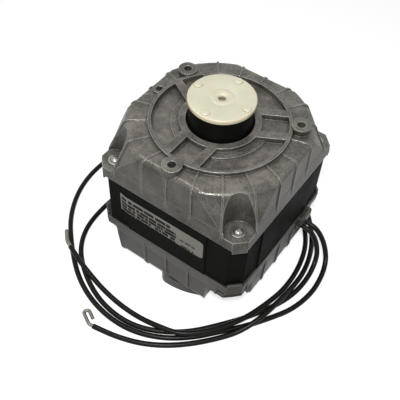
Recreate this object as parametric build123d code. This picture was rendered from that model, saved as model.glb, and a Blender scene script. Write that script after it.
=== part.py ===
from build123d import *
import math
import os

# Shaded-pole fan motor: two die-cast shells riveted over a square lamination stack,
# with a fan hub on the shaft and two loose leads. Millimetres, +Z along the shaft,
# origin on the shaft axis in the plane of the feet.

# Stack and flange
stack_height = 29.7
flange_half = 40.2
flange_chamfer = 5.2
flange_upright = 1.0
band_height = 7.4
stack_inset = 0.3
stack_step = 0.7
stack_middle = 44.0
stack_chamfer = 6.2

# Shell walls, shoulders and ribs
wall = 2.4
wall_inset = 0.6
front_shoulder = 23.1
front_draft = 0.3
front_corner_radius = 52.0
front_corner_lean = 10.6
front_rounding = 3.0
rear_shoulder = 24.9
rear_draft = 0.6
rear_corner_radius = 50.1
rear_corner_lean = 2.5
rear_rounding = 5.5
rib_count = 20
rib_width = 0.9
rib_height = 0.5

# Raised ring with its pockets
ring_radius = 31.8
front_ring_height = 2.0
rear_ring_height = 2.2
hub_opening_radius = 15.3
spoke_inner_radius = 18.3
pocket_outer_radius = 30.3
pocket_depth = 2.8
small_window_half = 5.2
spoke_width = 3.9
step_radius = 22.0
step_height = 0.9

# Bosses and their tapped holes
boss_pitch_radius = 35.25
boss_radius = 4.4
boss_hole_radius = 1.9
boss_rise = 1.0
boss_depth = 9.5
boss_hole_depth = 8.0
boss_angles = (30.0, 150.0, 270.0)
earth_boss_radius = 3.1
earth_boss_pitch_radius = 33.6
earth_boss_rise = 1.2
earth_hole_radius = 1.7
earth_hole_depth = 5.0
date_mark_radius = 2.3
date_mark_line = 0.45
date_mark_depth = 0.3
date_mark_pitch_radius = 36.2
date_mark_angle = 192.0

# Corner pads, scoops, tongues and rivets
rivet_pitch_half = 33.2
rivet_radius = 2.0
rivet_hole_clearance = 0.1
rivet_head_radius = 3.7
rivet_head_height = 1.7
rivet_tail_radius = 3.2
rivet_tail_height = 1.3
pad_height = 5.0
scoop_pitch_half = 34.0
scoop_radius = 6.9
scoop_draft = 1.5
tongue_length = 2.2
tongue_width = 6.6
tongue_thickness = 1.1

# Feet and lead exit of the rear shell
foot_height = 1.0
foot_inner_radius = 35.5
foot_span = 28.0
exit_y = 19.9
exit_drop = 8.0
lead_pitch = 3.4
grommet_height = 4.6
grommet_width = 8.4
grommet_lip = 0.8
grommet_lip_thickness = 1.2
grommet_seat_depth = 0.5
hood_width = 10.4
hood_height = 4.7
hood_reach = 2.8

# Bearings
shaft_radius = 3.0
bearing_clearance = 0.03
bearing_radius = 7.0
bearing_length = 8.0
seat_clearance = 0.1
housing_radius = 11.0
housing_bore = 5.6
housing_pocket = 9.0
housing_below = 6.5
housing_above = 5.3
front_bearing_height = 15.2
rear_bearing_height = 11.1
retainer_thickness = 0.6
retainer_hole = 4.8
felt_gap = 0.15
washer_thickness = 0.8
washer_radius = 4.4
washer_gap = 0.2
shaft_tail = 4.5

# Stator poles, bobbins, windings and shading rings
bore_radius = 19.6
yoke_radius = 35.5
shoe_radius = 23.4
shoe_half_angle = 36.0
neck_half = 7.5
bobbin_start = 24.2
bobbin_end = 32.0
bobbin_wall = 1.0
bobbin_half = 13.8
bobbin_overhang = 7.4
winding_margin = 0.5
shading_width = 2.2
shading_leg = 1.6
shading_rise = 1.8
shading_inner = (21.7, 4.9)
shading_outer = (17.4, 14.9)
shading_gap = 0.15

# Rotor
air_gap = 0.3
cage_ring_height = 4.0
cage_ring_inner = 12.0
cage_ring_inset = 0.6
cage_bar_radius = 1.3
cage_bar_pitch_radius = 17.0
cage_bar_count = 17

# Fan hub
disc_radius = 15.0
disc_thickness = 2.4
disc_edge = 0.5
hub_top = 37.75
dimple_radius = 4.0
dimple_depth = 0.7
hub_hole_radius = 1.7
hub_spigot_radius = 6.0
hub_spigot_depth = 2.4
peg_count = 4
peg_radius = 1.9
peg_pitch_radius = 12.5
peg_height = 3.4
peg_edge = 0.7
cup_radius = 14.2
cup_top_radius = 14.0
cup_wall = 1.4
cup_bottom = 17.4
cup_plate = 4.4
cup_edge = 1.2
sleeve_radius = 5.4
sleeve_bottom = 22.0
shaft_below_disc = 0.6

# Rating label on the -Y side of the stack
label_left = -26.1
label_right = 20.9
label_height = 11.2
label_drop = 6.9
label_thickness = 0.2
label_corner = 1.6

# Leads: each point is chosen by hand, and the bare tip follows the last run
lead_radius = 1.3
loop_tip_radius = 0.85
straight_tip_radius = 1.0
bend_share = 0.45

# What follows from the sizes above
stack_half = flange_half - stack_inset
stack_corner_half = stack_half - stack_step
wall_half = flange_half - wall_inset
rear_flange_z = rear_shoulder + rear_ring_height + foot_height
front_flange_z = rear_flange_z + stack_height
exit_z = rear_flange_z - exit_drop
grommet_seat_x = wall_half - grommet_seat_depth
grommet_face_x = grommet_seat_x + grommet_lip_thickness
front_bearing_z = front_flange_z + front_bearing_height
rear_bearing_z = rear_flange_z - rear_bearing_height
spoke_offset = small_window_half + spoke_width
rotor_radius = bore_radius - air_gap

lead_a_points = [
    (grommet_face_x, exit_y + lead_pitch / 2, exit_z),
    (45.8, 21.6, 20.1),
    (50.2, 21.5, 18.0),
    (54.0, 21.2, 13.4),
    (57.2, 19.8, 8.4),
    (59.8, 16.6, 4.6),
    (61.8, 9.4, 2.0),
    (62.4, -2.0, 1.3),
    (59.3, -15.4, 1.3),
    (52.9, -26.4, 1.3),
    (46.0, -36.6, 1.3),
    (37.6, -46.8, 1.3),
    (28.4, -57.6, 1.3),
    (17.0, -66.2, 1.3),
    (3.8, -71.4, 1.3),
    (-10.4, -72.2, 1.3),
    (-24.8, -69.2, 1.3),
    (-38.8, -62.4, 1.3),
    (-53.0, -50.8, 1.3),
    (-65.4, -38.2, 1.3),
    (-74.0, -22.4, 1.3),
    (-77.4, -6.0, 1.3),
    (-76.2, 11.0, 1.3),
    (-70.4, 28.2, 1.3),
    (-59.6, 43.8, 1.3),
    (-44.2, 56.2, 1.3),
    (-26.0, 63.6, 1.3),
    (-6.4, 65.2, 1.3),
    (12.2, 60.4, 1.3),
    (27.4, 50.0, 1.3),
    (38.6, 38.6, 1.3),
    (46.4, 27.6, 1.3),
    (51.0, 16.8, 1.3),
    (53.1, 5.8, 1.3),
    (53.1, -3.4, 2.0),
    (53.0, -11.2, 4.4),
    (52.6, -19.4, 6.9),
    (51.4, -27.6, 6.9),
    (48.8, -35.2, 4.8),
    (44.6, -42.6, 1.9),
    (38.6, -50.6, 1.3),
    (30.4, -60.0, 1.3),
    (21.2, -68.0, 1.3),
    (11.4, -73.8, 1.3),
    (2.0, -77.2, 1.3),
    (-5.6, -79.0, 1.3),
    (-12.2, -80.1, 1.3),
]
lead_a_tip_points = [
    (-12.2, -80.1, 1.3),
    (-14.6, -80.5, 1.3),
    (-21.2, -77.0, 1.1),
    (-19.8, -74.6, 1.1),
    (-15.0, -77.1, 1.2),
]
lead_b_points = [
    (grommet_face_x, exit_y - lead_pitch / 2, exit_z),
    (44.4, 18.2, 20.1),
    (48.3, 18.1, 18.5),
    (51.2, 17.6, 15.2),
    (53.2, 17.0, 11.0),
    (54.6, 15.6, 7.2),
    (55.6, 12.0, 3.9),
    (56.4, 5.2, 1.7),
    (55.9, -4.4, 1.3),
    (53.6, -13.4, 1.3),
    (49.4, -22.6, 1.3),
    (43.3, -33.2, 1.3),
    (35.6, -43.8, 1.3),
    (26.4, -55.2, 1.3),
    (15.2, -63.6, 1.3),
    (3.1, -68.6, 1.3),
    (-9.9, -69.3, 1.3),
    (-23.3, -66.3, 1.3),
    (-36.6, -59.4, 1.3),
    (-47.4, -50.4, 1.3),
    (-53.8, -38.4, 1.3),
    (-55.6, -23.4, 1.3),
    (-54.6, -6.8, 1.3),
    (-53.8, 10.4, 1.3),
    (-51.0, 27.4, 1.3),
    (-43.2, 42.8, 1.3),
    (-30.0, 54.0, 1.3),
    (-13.2, 58.6, 1.3),
    (4.4, 56.6, 1.3),
    (20.2, 49.4, 1.3),
    (32.0, 40.4, 1.3),
    (39.8, 31.2, 1.3),
    (45.6, 22.0, 1.3),
    (48.8, 11.4, 1.3),
    (50.2, 0.6, 1.5),
    (50.1, -10.4, 2.5),
    (48.4, -21.8, 4.8),
    (44.6, -34.6, 5.0),
    (37.8, -46.4, 4.6),
    (30.2, -55.4, 4.5),
    (22.8, -61.0, 4.6),
    (13.8, -63.0, 4.3),
    (3.0, -63.7, 1.6),
    (-9.4, -63.7, 1.3),
    (-22.0, -62.2, 2.0),
    (-33.4, -59.8, 4.2),
    (-42.6, -57.0, 4.5),
    (-50.2, -53.8, 4.3),
]
lead_b_tip_points = [
    (-50.2, -53.8, 4.3),
    (-54.4, -52.03, 4.19),
    (-59.2, -47.2, 3.7),
]


def at_angle(radius, angle, height=0.0):
    """Return the point at a radius, an angle in degrees and a height."""
    turn = math.radians(angle)
    return (radius * math.cos(turn), radius * math.sin(turn), height)


def cylinder(radius, low, high, centre=(0.0, 0.0)):
    """Return an upright cylinder between two heights."""
    disc = Pos(centre[0], centre[1], low) * Circle(radius)
    return extrude(disc, amount=high - low)


def ring(outer, inner, low, high):
    """Return an upright ring between two heights."""
    flat = Pos(0, 0, low) * (Circle(outer) - Circle(inner))
    return extrude(flat, amount=high - low)


def turned(points):
    """Return the solid turned about Z from an outline of (radius, height) points."""
    outline = Plane.XZ * Polygon(*points, align=None)
    return revolve(outline, Axis.Z)


def chamfered_square(half, cut):
    """Return a square with its four corners cut off."""
    square = Rectangle(2 * half, 2 * half)
    return chamfer(square.vertices(), cut)


def shell_form(grow, draft, radius, lean, height, rounding):
    """Return the square body with round corners and a rounded shoulder, grown or shrunk."""
    half = wall_half + grow
    base = Rectangle(2 * half, 2 * half)
    top = Pos(0, 0, height + grow) * Rectangle(2 * (half - draft), 2 * (half - draft))
    block = loft([base, top], ruled=True)
    cone = Cone(
        radius + grow, radius - lean + grow, height + grow, align=(Align.CENTER, Align.CENTER, Align.MIN)
    )
    body = cone & block
    return fillet(body.faces().sort_by(Axis.Z)[-1].edges(), rounding + grow)


def flange_band():
    """Return the flange: an upright edge, then a band that leans in."""
    base = chamfered_square(flange_half, flange_chamfer)
    top = chamfered_square(wall_half, flange_chamfer - wall_inset * (2 - math.sqrt(2)))
    lean = loft([Pos(0, 0, flange_upright) * base, Pos(0, 0, band_height) * top], ruled=True)
    return extrude(base, amount=flange_upright) + lean


def corner_places(half):
    """Return the four places at half a pitch from both middle planes."""
    return [(side_x * half, side_y * half) for side_x in (-1, 1) for side_y in (-1, 1)]


def scoop(place, height, grow):
    """Return the tapered scoop over a rivet, grown by a wall where one is wanted."""
    low = pad_height if grow == 0 else 0.0
    spread = (height - pad_height) * math.tan(math.radians(scoop_draft))
    base = Pos(place[0], place[1], low) * Circle(scoop_radius + grow)
    top = Pos(place[0], place[1], height) * Circle(scoop_radius + grow + spread)
    return loft([base, top])


def ribs(draft, radius, lean, height, rounding):
    """Return the thin ribs that run from the ring over the shoulder and down the sides."""
    proud = shell_form(rib_height, draft, radius, lean, height, rounding)
    plate = Pos(0, 0, height / 2) * Box(4 * flange_half, rib_width, 2 * height)
    plates = [Rot(0, 0, turn * 360 / rib_count) * plate for turn in range(rib_count // 2)]
    fan = plates[0].fuse(*plates[1:])
    return (proud & fan) - cylinder(ring_radius - rib_height, 0, 2 * height)


def tongue(angle):
    """Return the tongue on one corner of the flange, over the stack's cut corner."""
    reach = flange_half * math.sqrt(2) - flange_chamfer / math.sqrt(2)
    block = Box(tongue_thickness, tongue_width, tongue_length + flange_upright)
    block = Pos(reach - tongue_thickness / 2, 0, (flange_upright - tongue_length) / 2) * block
    return Rot(0, 0, angle) * block


def shell_body(draft, radius, lean, shoulder, rounding):
    """Return a shell without its ring, bosses and bearing housing, flange down."""
    form = (draft, radius, lean, shoulder, rounding)
    outer = shell_form(0.0, *form)
    inner = shell_form(-wall, *form)
    for place in corner_places(scoop_pitch_half):
        inner -= scoop(place, shoulder, wall)
    body = flange_band() + outer + ribs(*form)
    for place in corner_places(scoop_pitch_half):
        body -= scoop(place, shoulder + 2 * rib_height, 0)
    body -= inner
    for angle in (45, 135, 225, 315):
        body += tongue(angle)
    for place in corner_places(rivet_pitch_half):
        body -= cylinder(rivet_radius + rivet_hole_clearance, -tongue_length, pad_height + 1, place)
    return body


def boss(angle, pitch_radius, radius, top, depth):
    """Return the column of a boss that reaches down from its top."""
    return cylinder(radius, top - depth, top, at_angle(pitch_radius, angle)[:2])


def pocket_outline():
    """Return the three long pockets and the three windows between the spokes."""
    field = Circle(pocket_outer_radius) - Circle(spoke_inner_radius)
    spokes = None
    for angle in boss_angles:
        for side in (-1, 1):
            bar = Pos(ring_radius / 2, side * (small_window_half + spoke_width / 2))
            bar = Rot(0, 0, angle) * bar * Rectangle(ring_radius, spoke_width)
            spokes = bar if spokes is None else spokes + bar
    field -= spokes
    return field


def bearing_pocket(height, depth):
    """Return what is cut from a housing: seat, pocket above it and bore below it."""
    seat = Pos(0, 0, height) * Sphere(bearing_radius + seat_clearance)
    pocket = cylinder(housing_pocket, height, height + housing_above + 1)
    bore = cylinder(housing_bore, height - depth, height)
    return seat + pocket + bore


def front_shell():
    """Return the front shell, with its ring, pockets, bosses and bearing housing."""
    body = shell_body(
        front_draft, front_corner_radius, front_corner_lean, front_shoulder, front_rounding
    )
    ring_top = front_shoulder + front_ring_height
    body += cylinder(ring_radius, front_shoulder - wall, ring_top)
    boss_top = ring_top + boss_rise
    for angle in boss_angles:
        body += boss(angle, boss_pitch_radius, boss_radius, boss_top, boss_depth)
    earth_top = front_shoulder + earth_boss_rise
    body += boss(180, earth_boss_pitch_radius, earth_boss_radius, earth_top, earth_hole_depth + 1)
    pockets = pocket_outline()
    floor = ring_top - pocket_depth
    body -= extrude(Pos(0, 0, floor) * pockets, amount=pocket_depth)
    step = pockets & (Circle(step_radius) - Circle(spoke_inner_radius))
    for angle in boss_angles:
        window = Rot(0, 0, angle) * Pos(ring_radius / 2, 0) * Rectangle(ring_radius, 2 * spoke_offset)
        step -= window
    body += extrude(Pos(0, 0, floor) * step, amount=step_height)
    housing_top = front_bearing_height + housing_above
    housing_low = front_bearing_height - housing_below
    well_low = front_bearing_height - wall
    body += cylinder(hub_opening_radius + wall, well_low, front_shoulder)
    body -= cylinder(hub_opening_radius, well_low + wall, ring_top)
    body += cylinder(housing_radius, housing_low, housing_top)
    body -= bearing_pocket(front_bearing_height, housing_below)
    for angle in boss_angles:
        place = at_angle(boss_pitch_radius, angle)[:2]
        body -= cylinder(boss_hole_radius, boss_top - boss_hole_depth, boss_top, place)
    place = at_angle(earth_boss_pitch_radius, 180)[:2]
    body -= cylinder(earth_hole_radius, earth_top - earth_hole_depth, earth_top, place)
    mark = Pos(*at_angle(date_mark_pitch_radius, date_mark_angle, front_shoulder - date_mark_depth))
    mark_line = Circle(date_mark_radius) - Circle(date_mark_radius - date_mark_line)
    body -= extrude(mark * mark_line, amount=date_mark_depth)
    return Pos(0, 0, front_flange_z) * body


def rear_shell():
    """Return the rear shell, with its feet, bosses, housing and lead exit."""
    body = shell_body(rear_draft, rear_corner_radius, rear_corner_lean, rear_shoulder, rear_rounding)
    ring_top = rear_shoulder + rear_ring_height
    body += cylinder(ring_radius, rear_shoulder - wall, ring_top)
    foot_top = ring_top + foot_height
    foot_outer = boss_pitch_radius + boss_radius
    for angle in boss_angles:
        body += boss(-angle, boss_pitch_radius, boss_radius, foot_top, boss_depth)
        arc = Plane.XZ * Pos((foot_inner_radius + foot_outer) / 2, (rear_shoulder - wall + foot_top) / 2)
        section = arc * Rectangle(foot_outer - foot_inner_radius, foot_top - rear_shoulder + wall)
        body += Rot(0, 0, -angle - foot_span) * revolve(section, Axis.Z, revolution_arc=foot_span)
    housing_top = rear_shoulder
    housing_low = rear_bearing_height - housing_above
    body += cylinder(housing_radius, housing_low, housing_top)
    pocket = Rot(180, 0, 0) * bearing_pocket(-rear_bearing_height, shaft_tail + bearing_length / 2 + 1)
    body -= pocket
    for angle in boss_angles:
        place = at_angle(boss_pitch_radius, -angle)[:2]
        body -= cylinder(boss_hole_radius, foot_top - boss_hole_depth, foot_top, place)
    body = Pos(0, 0, rear_flange_z) * Rot(180, 0, 0) * body
    body += exit_hood()
    body -= exit_slot(0.0, wall_half - 2 * wall, flange_half)
    body -= exit_slot(grommet_lip, grommet_seat_x, flange_half)
    return body


def exit_hood():
    """Return the hood on the flange over the lead exit."""
    low = rear_flange_z - hood_height
    inner = wall_half - wall / 2
    reach = flange_half + hood_reach
    block = Box(reach - inner, hood_width, hood_height)
    block = Pos((reach + inner) / 2, exit_y, low + hood_height / 2) * block
    corners = block.edges().filter_by(Axis.Z).group_by(Axis.X)[-1]
    block = fillet(corners, hood_reach / 2)
    return chamfer(block.faces().sort_by(Axis.X)[-1].edges().group_by(Axis.Z)[-1], 0.8)


def exit_slot(grow, start_x, end_x):
    """Return the oval plug of the lead exit between two places along X."""
    outline = SlotOverall(grommet_width + 2 * grow, grommet_height + 2 * grow)
    plane = Plane(origin=(start_x, exit_y, exit_z), x_dir=(0, 1, 0), z_dir=(1, 0, 0))
    return extrude(plane * outline, amount=end_x - start_x)


def lead_grommet():
    """Return the grommet that fills the lead exit, with a lip on each side of the wall."""
    inner_end = wall_half - wall - grommet_lip_thickness
    body = exit_slot(0.0, inner_end, grommet_face_x)
    body += exit_slot(grommet_lip, grommet_seat_x, grommet_face_x)
    return body


def stack_outline():
    """Return the outline of a lamination without its bore."""
    outline = chamfered_square(stack_corner_half, stack_chamfer)
    outline += Rectangle(2 * stack_half, stack_middle)
    outline += Rectangle(stack_middle, 2 * stack_half)
    for place in corner_places(rivet_pitch_half):
        outline -= Pos(*place) * Circle(rivet_radius + rivet_hole_clearance)
    return outline


def shading_bar(grow):
    """Return the slanted bar of a shading ring, with its centre and direction."""
    across = shading_outer[0] - shading_inner[0]
    along = shading_outer[1] - shading_inner[1]
    length = math.hypot(across, along) + shading_leg
    slant = math.degrees(math.atan2(along, across))
    centre = ((shading_outer[0] + shading_inner[0]) / 2, (shading_outer[1] + shading_inner[1]) / 2)
    place = Pos(*centre) * Rot(0, 0, slant)
    bar = place * Rectangle(length + 2 * grow, shading_width + 2 * grow)
    gap = place * Rectangle(length - 2 * shading_leg, shading_width)
    slot_centre = Pos(shading_leg / 2 - length / 2, 0)
    slot = place * slot_centre * Rectangle(shading_leg + 2 * grow, 2 * shading_width + 2 * grow)
    return bar, gap, slot


def stator_core():
    """Return the lamination stack with four poles."""
    outline = stack_outline() - Circle(yoke_radius)
    shoes = Circle(shoe_radius)
    gaps = None
    for turn in range(4):
        angle = 45 + 90 * turn
        half_gap = 45 - shoe_half_angle
        reach = 2 * shoe_radius
        wedge = Polygon(
            (0, 0),
            at_angle(reach, angle - half_gap)[:2],
            at_angle(reach, angle + half_gap)[:2],
            align=None,
        )
        gaps = wedge if gaps is None else gaps + wedge
    poles = shoes - gaps
    for turn in range(4):
        neck = Pos(yoke_radius / 2 + bore_radius / 2, 0)
        neck = Rot(0, 0, 90 * turn) * neck * Rectangle(yoke_radius - bore_radius + 2, 2 * neck_half)
        poles += neck
    outline += poles
    outline -= Circle(bore_radius)
    slot = shading_bar(shading_gap)[2]
    for turn in range(4):
        outline -= Rot(0, 0, 90 * turn) * slot
    return extrude(Pos(0, 0, rear_flange_z) * outline, amount=stack_height)


def shading_rings():
    """Return one copper ring for each pole."""
    bar, gap, _ = shading_bar(0.0)
    low = rear_flange_z - shading_rise
    ring_solid = extrude(Pos(0, 0, low) * bar, amount=stack_height + 2 * shading_rise)
    ring_solid -= extrude(Pos(0, 0, rear_flange_z) * gap, amount=stack_height)
    return Compound(children=[Rot(0, 0, 90 * turn) * ring_solid for turn in range(4)])


def pole_frame(start, half_width, half_height, hole_width, hole_height, length):
    """Return a rectangular frame around the +X pole, from a start along X."""
    middle = rear_flange_z + stack_height / 2
    plane = Plane(origin=(start, 0, middle), x_dir=(0, 1, 0), z_dir=(1, 0, 0))
    outline = RectangleRounded(2 * half_width, 2 * half_height, 2 * bobbin_wall)
    outline -= Rectangle(2 * hole_width, 2 * hole_height)
    return extrude(plane * outline, amount=length)


def bobbin():
    """Return the bobbin of the +X pole."""
    stack_side = stack_height / 2
    tube_half = neck_half + bobbin_wall
    tube_height = stack_side + bobbin_wall
    hole = (neck_half, stack_side)
    flange_height = stack_side + bobbin_overhang
    body = pole_frame(bobbin_start, tube_half, tube_height, *hole, bobbin_end - bobbin_start)
    body += pole_frame(bobbin_start, bobbin_half, flange_height, *hole, bobbin_wall)
    body += pole_frame(bobbin_end - bobbin_wall, bobbin_half, flange_height, *hole, bobbin_wall)
    return body


def winding():
    """Return the winding of the +X pole, between the flanges of its bobbin."""
    tube_half = neck_half + bobbin_wall
    tube_height = stack_height / 2 + bobbin_wall
    outer_half = bobbin_half - winding_margin
    outer_height = stack_height / 2 + bobbin_overhang - winding_margin
    length = bobbin_end - bobbin_start - 2 * bobbin_wall
    return pole_frame(
        bobbin_start + bobbin_wall, outer_half, outer_height, tube_half, tube_height, length
    )


def bearing(height):
    """Return a self-aligning bearing: a ball with flat ends and a bore."""
    ball = Pos(0, 0, height) * Sphere(bearing_radius)
    ball &= cylinder(bearing_radius, height - bearing_length / 2, height + bearing_length / 2)
    return ball - cylinder(shaft_radius + bearing_clearance, height - bearing_length, height + bearing_length)


def retainer(height):
    """Return the pressed ring that holds a bearing in its housing."""
    low = height + bearing_length / 2 + seat_clearance
    return ring(housing_pocket, retainer_hole, low, low + retainer_thickness)


def felt(height):
    """Return the oil felt round the upper half of a bearing."""
    high = height + bearing_length / 2
    return ring(housing_pocket, bearing_radius + felt_gap, height + felt_gap, high)


def thrust_washers():
    """Return the two washers on the shaft, each beside a bearing."""
    rear_low = rear_bearing_z + bearing_length / 2 + washer_gap
    front_high = front_bearing_z - bearing_length / 2 - washer_gap
    lows = (rear_low, front_high - washer_thickness)
    return Compound(children=[ring(washer_radius, shaft_radius, low, low + washer_thickness) for low in lows])


def shaft():
    """Return the shaft, from below the rear bearing to just under the hub disc."""
    low = rear_bearing_z - bearing_length / 2 - shaft_tail
    high = front_flange_z + hub_top - disc_thickness - shaft_below_disc
    body = cylinder(shaft_radius, low, high)
    ends = body.edges().filter_by(GeomType.CIRCLE)
    return chamfer(ends, 0.5)


def cage_bars(low, high):
    """Return the slanted bars of the rotor between two heights."""
    pitch = 2 * math.pi * cage_bar_pitch_radius / cage_bar_count
    lean = math.degrees(math.atan2(pitch, stack_height))
    length = (high - low) / math.cos(math.radians(lean))
    bar = Pos(cage_bar_pitch_radius, 0, (low + high) / 2) * Rot(lean, 0, 0) * Cylinder(cage_bar_radius, length)
    return [Rot(0, 0, turn * 360 / cage_bar_count) * bar for turn in range(cage_bar_count)]


def rotor_core():
    """Return the rotor laminations, with holes for the bars."""
    body = ring(rotor_radius, shaft_radius, rear_flange_z, front_flange_z)
    return body.cut(*cage_bars(rear_flange_z - cage_ring_height, front_flange_z + cage_ring_height))


def rotor_cage():
    """Return the cast cage: bars and two end rings."""
    low = rear_flange_z - cage_ring_height
    high = front_flange_z + cage_ring_height
    outer = rotor_radius - cage_ring_inset
    bars = cage_bars(rear_flange_z - cage_ring_height / 2, front_flange_z + cage_ring_height / 2)
    body = ring(outer, cage_ring_inner, low, rear_flange_z)
    return body.fuse(ring(outer, cage_ring_inner, front_flange_z, high), *bars)


def hub_cup():
    """Return the black cup that turns in the opening of the front shell."""
    top = hub_top - disc_thickness
    outline = Polygon((0, cup_bottom), (cup_radius, cup_bottom), (cup_top_radius, top), (0, top), align=None)
    outline = fillet(outline.vertices().sort_by(Axis.Y)[-2:].sort_by(Axis.X)[-1], cup_edge)
    body = revolve(Plane.XZ * outline, Axis.Z)
    inside = top - cup_plate
    body -= turned(
        [
            (0, cup_bottom),
            (cup_radius - cup_wall, cup_bottom),
            (cup_top_radius - cup_wall, inside),
            (0, inside),
        ]
    )
    body += cylinder(sleeve_radius, sleeve_bottom, inside)
    for turn in range(3):
        web = Box(2 * cup_top_radius - cup_wall, cup_wall, inside - sleeve_bottom)
        body += Rot(0, 0, 60 * turn) * Pos(0, 0, (inside + sleeve_bottom) / 2) * web
    body -= cylinder(shaft_radius, cup_bottom, top)
    body -= cylinder(hub_spigot_radius, top - hub_spigot_depth, top)
    return Pos(0, 0, front_flange_z) * body


def fan_hub():
    """Return the cream disc with its spigot, dimple, hole and pegs."""
    low = hub_top - disc_thickness
    disc = cylinder(disc_radius, low, hub_top)
    disc = fillet(disc.edges().filter_by(GeomType.CIRCLE), disc_edge)
    body = disc + cylinder(hub_spigot_radius, low - hub_spigot_depth, low)
    dimple = Pos(0, 0, hub_top - dimple_depth) * Cone(
        hub_hole_radius, dimple_radius, dimple_depth, align=(Align.CENTER, Align.CENTER, Align.MIN)
    )
    body -= dimple
    body -= cylinder(hub_hole_radius, low - hub_spigot_depth, hub_top)
    body -= cylinder(
        shaft_radius + seat_clearance, low - hub_spigot_depth, low - shaft_below_disc + seat_clearance
    )
    for turn in range(peg_count):
        place = at_angle(peg_pitch_radius, turn * 360 / peg_count)[:2]
        peg = cylinder(peg_radius, low, hub_top + peg_height, place)
        peg = fillet(peg.edges().filter_by(GeomType.CIRCLE).sort_by(Axis.Z)[-1], peg_edge)
        body += peg
    return Pos(0, 0, front_flange_z) * body


def corner_rivets():
    """Return the four rivets, with a dome head in front and a formed tail behind."""
    low = rear_flange_z - pad_height
    high = front_flange_z + pad_height
    rivets = []
    for place in corner_places(rivet_pitch_half):
        body = cylinder(rivet_radius, low, high, place)
        body += dome(place, high, rivet_head_radius, rivet_head_height, 1)
        body += dome(place, low, rivet_tail_radius, rivet_tail_height, -1)
        rivets.append(body)
    return Compound(children=rivets)


def dome(place, height, radius, rise, side):
    """Return a dome on a plane, to one side of it."""
    ball_radius = (radius * radius + rise * rise) / (2 * rise)
    ball = Pos(place[0], place[1], height + side * (rise - ball_radius)) * Sphere(ball_radius)
    low = height if side > 0 else height - rise
    return ball & cylinder(radius, low, low + rise, place)


def rating_label():
    """Return the label on the -Y side of the stack, its left end bent into the step."""
    step = -stack_middle / 2
    face = -stack_half
    outline = Polygon(
        (label_right, face),
        (step, face),
        (label_left, -stack_corner_half),
        (label_left, -stack_corner_half - label_thickness),
        (step, face - label_thickness),
        (label_right, face - label_thickness),
        align=None,
    )
    high = front_flange_z - label_drop
    body = extrude(Pos(0, 0, high - label_height) * outline, amount=label_height)
    corners = body.edges().filter_by(Axis.Y).group_by(Axis.X)[-1]
    return fillet(corners, label_corner)


def wire(name, points, radius):
    """Return a round wire along its points, each arc as large as its runs allow."""
    corners = [Vector(*point) for point in points]
    bends = []
    for before, here, after in zip(corners, corners[1:], corners[2:]):
        turn = math.radians((here - before).get_angle(after - here))
        shorter = min((here - before).length, (after - here).length)
        bends.append(bend_share * shorter / math.tan(turn / 2))
    path = FilletPolyline(*corners, radius=bends)
    section = Plane(origin=path @ 0, z_dir=path % 0) * Circle(radius)
    tube = sweep(section, path=path)
    ratio = tube.volume / (math.pi * radius**2 * path.length)
    print(name, "tightest bends", [round(bend, 1) for bend in sorted(bends)[:5]])
    print(name, "length", round(path.length, 1), "volume ratio", round(ratio, 4))
    return tube


def write(name, solid):
    """Write one sub-part to its file."""
    export_step(solid, f"parts/{name}.step")


def main():
    """Build every sub-part and write it."""
    os.makedirs("parts", exist_ok=True)
    write("front_shell", front_shell())
    write("rear_shell", rear_shell())
    write("stator_core", stator_core())
    write("shading_rings", shading_rings())
    first_bobbin = bobbin()
    first_winding = winding()
    for turn in range(4):
        place = Rot(0, 0, 90 * turn)
        write(f"bobbin_{turn + 1}", place * first_bobbin)
        write(f"winding_{turn + 1}", place * first_winding)
    for side, height in (("front", front_bearing_z), ("rear", rear_bearing_z)):
        write(f"{side}_bearing", bearing(height))
        write(f"{side}_retainer", retainer(height))
        write(f"{side}_felt", felt(height))
    write("corner_rivets", corner_rivets())
    write("rating_label", rating_label())
    write("lead_grommet", lead_grommet())
    write("shaft", shaft())
    write("rotor_core", rotor_core())
    write("rotor_cage", rotor_cage())
    write("thrust_washers", thrust_washers())
    write("hub_cup", hub_cup())
    write("fan_hub", fan_hub())
    wires = (
        ("lead_a", lead_a_points, lead_radius),
        ("lead_b", lead_b_points, lead_radius),
        ("lead_a_tip", lead_a_tip_points, loop_tip_radius),
        ("lead_b_tip", lead_b_tip_points, straight_tip_radius),
    )
    for name, points, radius in wires:
        write(name, wire(name, points, radius))


main()
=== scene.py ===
"""Shaded-pole fan motor: finishes, leads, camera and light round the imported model."""

import math

import bmesh
import bpy
from mathutils import Matrix, Vector


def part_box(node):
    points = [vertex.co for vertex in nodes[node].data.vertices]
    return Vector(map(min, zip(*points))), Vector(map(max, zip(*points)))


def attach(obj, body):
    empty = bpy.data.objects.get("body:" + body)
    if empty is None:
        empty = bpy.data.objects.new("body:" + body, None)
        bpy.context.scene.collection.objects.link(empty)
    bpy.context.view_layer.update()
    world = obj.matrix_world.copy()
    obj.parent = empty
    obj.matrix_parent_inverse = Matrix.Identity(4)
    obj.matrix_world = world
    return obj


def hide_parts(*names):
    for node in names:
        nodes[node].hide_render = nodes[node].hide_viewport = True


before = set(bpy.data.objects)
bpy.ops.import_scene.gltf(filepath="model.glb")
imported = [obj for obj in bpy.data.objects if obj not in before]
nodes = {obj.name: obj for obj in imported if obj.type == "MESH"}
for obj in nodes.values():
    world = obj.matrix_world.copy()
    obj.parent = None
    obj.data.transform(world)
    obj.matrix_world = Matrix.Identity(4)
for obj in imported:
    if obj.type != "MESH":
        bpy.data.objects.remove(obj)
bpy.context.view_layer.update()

bl_info = {
    "name": "Shaded-Pole Fan Motor",
    "version": (1, 0, 0),
    "blender": (4, 5, 0),
    "location": "View3D > Sidebar > Fan Motor",
    "description": "Dresses a square fan motor with its castings, stack, label, hub and leads",
    "category": "Object",
}

# Whole length of each lead in metres
LEAD_A_LENGTH = 0.580
LEAD_B_LENGTH = 0.556

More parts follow.
